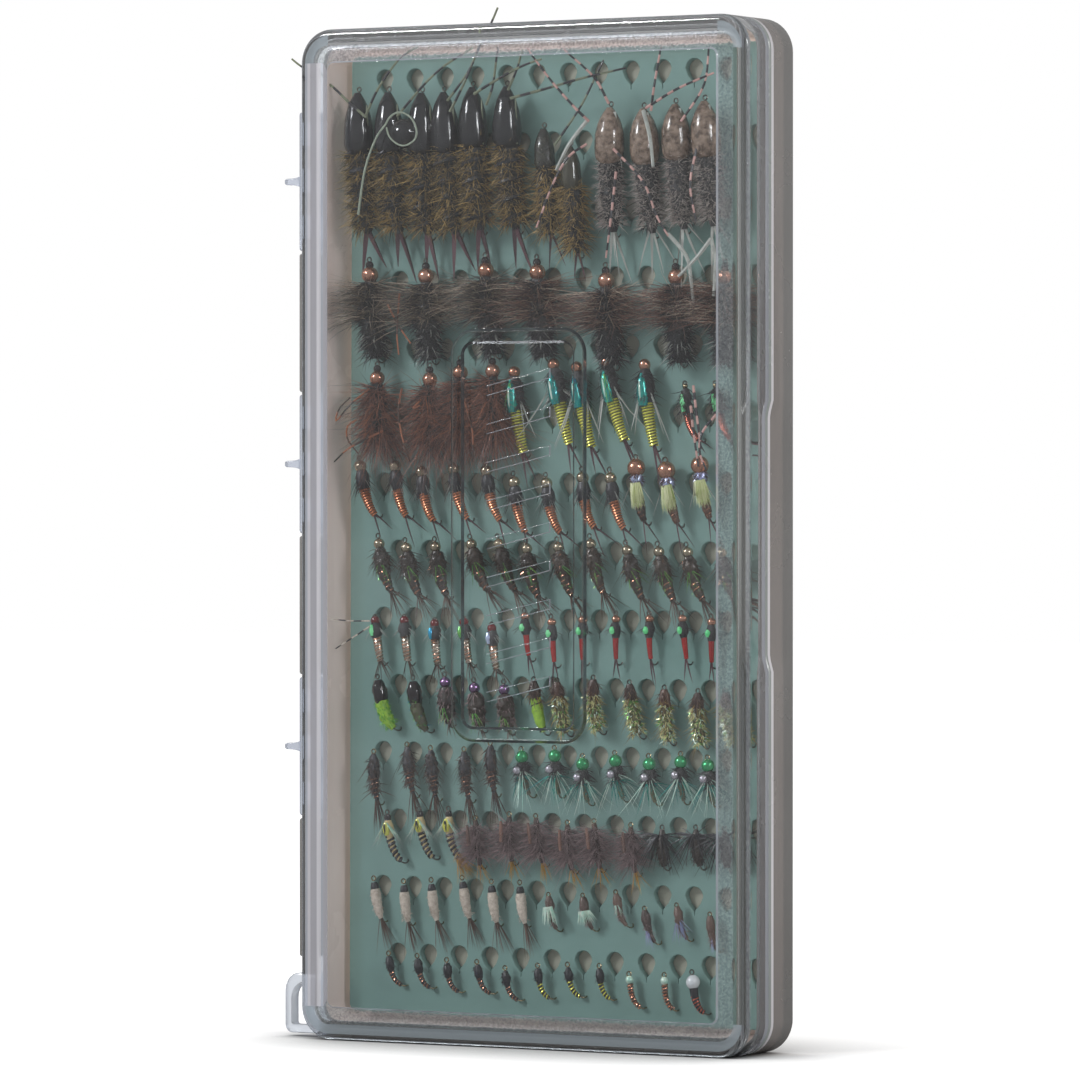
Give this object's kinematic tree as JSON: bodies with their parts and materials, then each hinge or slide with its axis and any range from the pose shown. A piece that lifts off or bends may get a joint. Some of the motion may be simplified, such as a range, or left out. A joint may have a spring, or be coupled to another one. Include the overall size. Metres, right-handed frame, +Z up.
{
  "type": "fly box",
  "caption": "Slim pocket fly box with a clear hinged lid, a tinted tray and a slit silicone mat that holds rows of tied fishing flies.",
  "frame": {"origin": "middle of the case's lower short end in X and Y, on the tray's end face that the box stands on", "axes": "+Z up along the case's long side, +Y from the lid's face to the tray's back, +X from the hinge side to the opening side"},
  "size_m": [0.098, 0.018, 0.18],
  "materials": {
    "clear_lid": "clear polycarbonate, polished",
    "tinted_tray": "smoke-grey translucent polycarbonate, polished",
    "clear_pin": "clear plastic rod",
    "silicone_mat": "matte silicone",
    "stoneflies_dark": "dark olive-brown dubbing and black shellback",
    "stonefly_olive": "olive dubbing",
    "stoneflies_tan": "grey-tan dubbing",
    "leech_nymphs": "dark brown hair",
    "rust_buggers": "rust-brown marabou",
    "flash_wire_nymphs": "chartreuse wire under a teal back",
    "red_wire_nymphs": "red-brown wire",
    "orange_wire_nymphs": "orange wire",
    "tuft_nymphs": "brown body with a chartreuse tuft",
    "peacock_nymphs": "dark peacock herl",
    "silver_rib_nymphs": "silver and gold tinsel",
    "red_body_nymphs": "red floss",
    "grub_caddis": "chartreuse dubbing",
    "purple_bead_nymphs": "purple and black dubbing",
    "olive_caddis": "yellow-olive dubbing",
    "pheasant_nymphs": "pheasant-tail brown",
    "green_bead_nymphs": "olive-green dubbing",
    "banded_emergers": "banded grey body",
    "fuzzy_emergers": "grey-brown fur",
    "black_spiders": "black hackle",
    "cream_nymphs": "cream floss",
    "flash_midges": "grey flash",
    "ribbed_midges": "black thread ribbed with copper and green",
    "copper_midges": "copper wire",
    "white_bead_midge": "black thread under a white bead"
  },
  "bodies": {
    "tray": {"base_tray": "tinted_tray", "hinge_pin": "clear_pin", "slit_mat": "silicone_mat", "stoneflies_dark": "stoneflies_dark", "stonefly_olive": "stonefly_olive", "stoneflies_tan": "stoneflies_tan", "leech_nymphs": "leech_nymphs", "rust_buggers": "rust_buggers", "flash_wire_nymphs": "flash_wire_nymphs", "red_wire_nymphs": "red_wire_nymphs", "orange_wire_nymphs": "orange_wire_nymphs", "tuft_nymphs": "tuft_nymphs", "peacock_nymphs": "peacock_nymphs", "silver_rib_nymphs": "silver_rib_nymphs", "red_body_nymphs": "red_body_nymphs", "grub_caddis": "grub_caddis", "purple_bead_nymphs": "purple_bead_nymphs", "olive_caddis": "olive_caddis", "pheasant_nymphs": "pheasant_nymphs", "green_bead_nymphs": "green_bead_nymphs", "banded_emergers": "banded_emergers", "fuzzy_emergers": "fuzzy_emergers", "black_spiders": "black_spiders", "cream_nymphs": "cream_nymphs", "flash_midges": "flash_midges", "ribbed_midges": "ribbed_midges", "copper_midges": "copper_midges", "white_bead_midge": "white_bead_midge"},
    "lid": {"lid_cover": "clear_lid"}
  },
  "joints": [
    {"name": "lid_hinge", "type": "hinge", "parent": "tray", "child": "lid", "pos_m": [-0.0479, -0.0005, 0.09], "axis": [0, 0, -1], "range_deg": [0, 120]}
  ]
}
